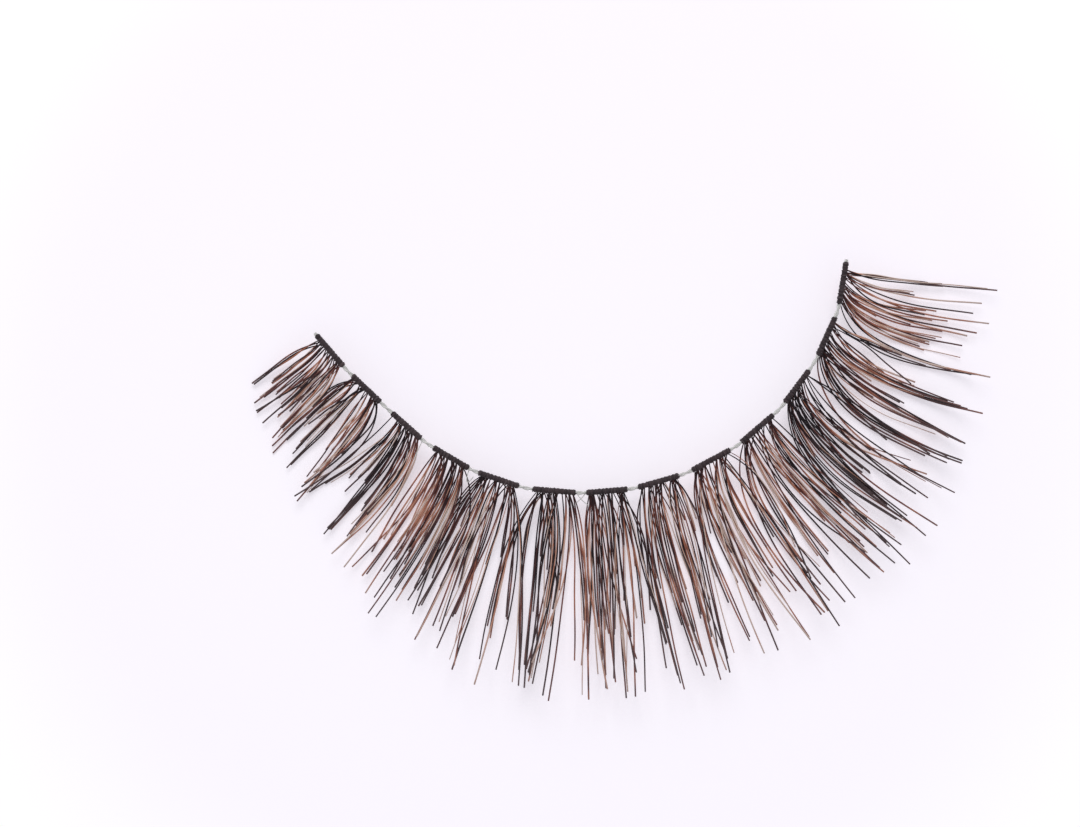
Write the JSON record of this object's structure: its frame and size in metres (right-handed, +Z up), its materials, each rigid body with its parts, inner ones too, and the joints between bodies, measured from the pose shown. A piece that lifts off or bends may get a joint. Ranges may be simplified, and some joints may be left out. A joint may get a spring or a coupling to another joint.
{
  "type": "false eyelash strip",
  "caption": "False eyelash strip with knotted hair tufts on a curved clear thread, lying on the bellies of its curled hairs.",
  "frame": {"origin": "centre of the strip's bounding box in plan, on the surface that it lies on", "axes": "+Z up from that surface, +X along the strip from its short-haired end to its long-haired end, +Y towards the hollow side of the band, where the eyelid is"},
  "size_m": [0.0362, 0.021, 0.0024],
  "materials": {
    "clear_thread": "clear, slightly milky nylon thread",
    "knotted_hair": "satin dark brown to black human hair, with auburn strands"
  },
  "bodies": {
    "root": {"band_thread": "clear_thread", "tuft_01": "knotted_hair", "tuft_02": "knotted_hair", "tuft_03": "knotted_hair", "tuft_04": "knotted_hair", "tuft_05": "knotted_hair", "tuft_06": "knotted_hair", "tuft_07": "knotted_hair", "tuft_08": "knotted_hair", "tuft_09": "knotted_hair", "tuft_10": "knotted_hair", "tuft_11": "knotted_hair", "tuft_12": "knotted_hair", "tuft_13": "knotted_hair"}
  },
  "joints": []
}
